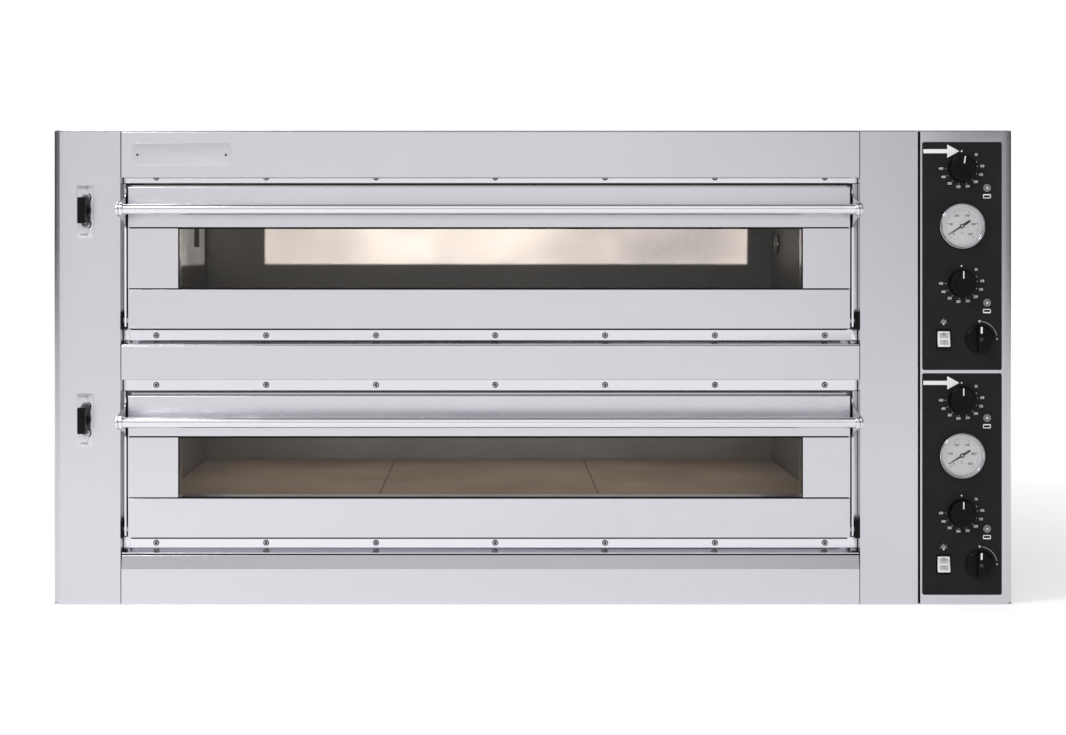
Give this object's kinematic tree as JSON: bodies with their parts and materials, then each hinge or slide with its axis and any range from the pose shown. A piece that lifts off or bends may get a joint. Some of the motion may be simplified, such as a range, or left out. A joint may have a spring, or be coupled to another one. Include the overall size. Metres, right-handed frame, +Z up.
{
  "type": "countertop pizza oven",
  "caption": "Wide stainless steel electric pizza oven with stacked baking decks, drop-down glazed doors with bar handles, steam vent levers and black control panels.",
  "frame": {"origin": "centre of the footprint, on the surface that the oven stands on", "axes": "+X to the right seen from the front, the doors face -Y, +Z up"},
  "size_m": [1.51, 0.945, 0.745],
  "materials": {
    "stainless_sheet": "brushed stainless sheet with fine horizontal or vertical grain",
    "polished_stainless": "bright polished stainless trim and tube",
    "galvanised_sheet": "dull zinc-coated sheet",
    "chamber_sheet": "aluminised sheet, lightly heat-stained",
    "heater_sheath": "oxidised heating element sheath",
    "baking_stone": "matt unglazed baking stone",
    "mineral_wool": "mineral wool slab",
    "black_knob": "satin moulded black plastic",
    "panel_black": "satin black panel",
    "rocker_white": "glossy white plastic",
    "needle_black": "matt black needle",
    "door_glass": "clear heat-resistant glass",
    "printed_white": "white printing on a panel",
    "gauge_face": "pale gauge dial",
    "clear_lens": "clear lens",
    "gasket_black": "black heat-resistant gasket"
  },
  "bodies": {
    "housing": {"left_casing": "stainless_sheet", "right_post": "stainless_sheet", "control_casing": "stainless_sheet", "top_cover": "stainless_sheet", "top_fascia": "stainless_sheet", "middle_fascia": "stainless_sheet", "base_pan": "stainless_sheet", "back_panel": "galvanised_sheet", "cable_gland": "black_knob", "insulation": "mineral_wool", "lower_top_trim": "polished_stainless", "lower_bottom_trim": "polished_stainless", "lower_chamber_liner": "chamber_sheet", "lower_stone_floor": "baking_stone", "lower_bottom_heater": "heater_sheath", "lower_top_heater": "heater_sheath", "lower_lamp": "polished_stainless", "lower_control_panel": "panel_black", "lower_top_thermostat": "black_knob", "lower_bottom_thermostat": "black_knob", "lower_thermometer": "polished_stainless", "upper_top_trim": "polished_stainless", "upper_bottom_trim": "polished_stainless", "upper_chamber_liner": "chamber_sheet", "upper_stone_floor": "baking_stone", "upper_bottom_heater": "heater_sheath", "upper_top_heater": "heater_sheath", "upper_lamp": "polished_stainless", "upper_control_panel": "panel_black", "upper_top_thermostat": "black_knob", "upper_bottom_thermostat": "black_knob", "upper_thermometer": "polished_stainless"},
    "lower_door": {"lower_door_frame": "stainless_sheet", "lower_door_top_panel": "stainless_sheet", "lower_door_bottom_panel": "stainless_sheet", "lower_door_glass": "door_glass", "lower_handle_bar": "polished_stainless", "lower_handle_arm_left": "polished_stainless", "lower_handle_arm_right": "polished_stainless"},
    "lower_vent": {"lower_vent_lever": "galvanised_sheet", "lower_vent_knob": "black_knob"},
    "lower_top_heat_control": {"lower_top_heat_knob": "black_knob"},
    "lower_bottom_heat_control": {"lower_bottom_heat_knob": "black_knob"},
    "lower_power_control": {"lower_power_knob": "black_knob"},
    "lower_lamp_switch": {"lower_lamp_rocker": "rocker_white"},
    "lower_thermometer_pointer": {"lower_thermometer_needle": "needle_black"},
    "upper_door": {"upper_door_frame": "stainless_sheet", "upper_door_top_panel": "stainless_sheet", "upper_door_bottom_panel": "stainless_sheet", "upper_door_glass": "door_glass", "upper_handle_bar": "polished_stainless", "upper_handle_arm_left": "polished_stainless", "upper_handle_arm_right": "polished_stainless"},
    "upper_vent": {"upper_vent_lever": "galvanised_sheet", "upper_vent_knob": "black_knob"},
    "upper_top_heat_control": {"upper_top_heat_knob": "black_knob"},
    "upper_bottom_heat_control": {"upper_bottom_heat_knob": "black_knob"},
    "upper_power_control": {"upper_power_knob": "black_knob"},
    "upper_lamp_switch": {"upper_lamp_rocker": "rocker_white"},
    "upper_thermometer_pointer": {"upper_thermometer_needle": "needle_black"}
  },
  "joints": [
    {"name": "lower_door_hinge", "type": "hinge", "parent": "housing", "child": "lower_door", "pos_m": [-0.069, -0.3835, 0.118], "axis": [1, 0, 0], "range_deg": [0, 90], "stiffness_Nm_per_rad": 4.6, "springref_deg": -9.74},
    {"name": "lower_vent_lever_pivot", "type": "hinge", "parent": "housing", "child": "lower_vent", "pos_m": [-0.704, 0.0585, 0.29], "axis": [1, 0, 0], "range_deg": [-2.1, 2.1]},
    {"name": "lower_top_heat_turn", "type": "hinge", "parent": "housing", "child": "lower_top_heat_control", "pos_m": [0.673, -0.3935, 0.3218], "axis": [0, 1, 0], "range_deg": [0, 270]},
    {"name": "lower_bottom_heat_turn", "type": "hinge", "parent": "housing", "child": "lower_bottom_heat_control", "pos_m": [0.673, -0.3935, 0.1446], "axis": [0, 1, 0], "range_deg": [0, 270]},
    {"name": "lower_power_turn", "type": "hinge", "parent": "housing", "child": "lower_power_control", "pos_m": [0.7012, -0.3935, 0.0636], "axis": [0, 1, 0], "range_deg": [0, 90]},
    {"name": "lower_lamp_switch_rock", "type": "hinge", "parent": "housing", "child": "lower_lamp_switch", "pos_m": [0.6449, -0.3895, 0.0636], "axis": [1, 0, 0], "range_deg": [0, 14]},
    {"name": "lower_thermometer_swing", "type": "hinge", "parent": "housing", "child": "lower_thermometer_pointer", "pos_m": [0.673, -0.396, 0.2344], "axis": [0, 1, 0], "range_deg": [0, 259]},
    {"name": "upper_door_hinge", "type": "hinge", "parent": "housing", "child": "upper_door", "pos_m": [-0.069, -0.3835, 0.446], "axis": [1, 0, 0], "range_deg": [0, 90], "stiffness_Nm_per_rad": 4.6, "springref_deg": -9.74},
    {"name": "upper_vent_lever_pivot", "type": "hinge", "parent": "housing", "child": "upper_vent", "pos_m": [-0.704, 0.0585, 0.618], "axis": [1, 0, 0], "range_deg": [-2.1, 2.1]},
    {"name": "upper_top_heat_turn", "type": "hinge", "parent": "housing", "child": "upper_top_heat_control", "pos_m": [0.673, -0.3935, 0.6856], "axis": [0, 1, 0], "range_deg": [0, 270]},
    {"name": "upper_bottom_heat_turn", "type": "hinge", "parent": "housing", "child": "upper_bottom_heat_control", "pos_m": [0.673, -0.3935, 0.5052], "axis": [0, 1, 0], "range_deg": [0, 270]},
    {"name": "upper_power_turn", "type": "hinge", "parent": "housing", "child": "upper_power_control", "pos_m": [0.7012, -0.3935, 0.4173], "axis": [0, 1, 0], "range_deg": [0, 90]},
    {"name": "upper_lamp_switch_rock", "type": "hinge", "parent": "housing", "child": "upper_lamp_switch", "pos_m": [0.6449, -0.3895, 0.4173], "axis": [1, 0, 0], "range_deg": [0, 14]},
    {"name": "upper_thermometer_swing", "type": "hinge", "parent": "housing", "child": "upper_thermometer_pointer", "pos_m": [0.673, -0.396, 0.5946], "axis": [0, 1, 0], "range_deg": [0, 259]}
  ]
}
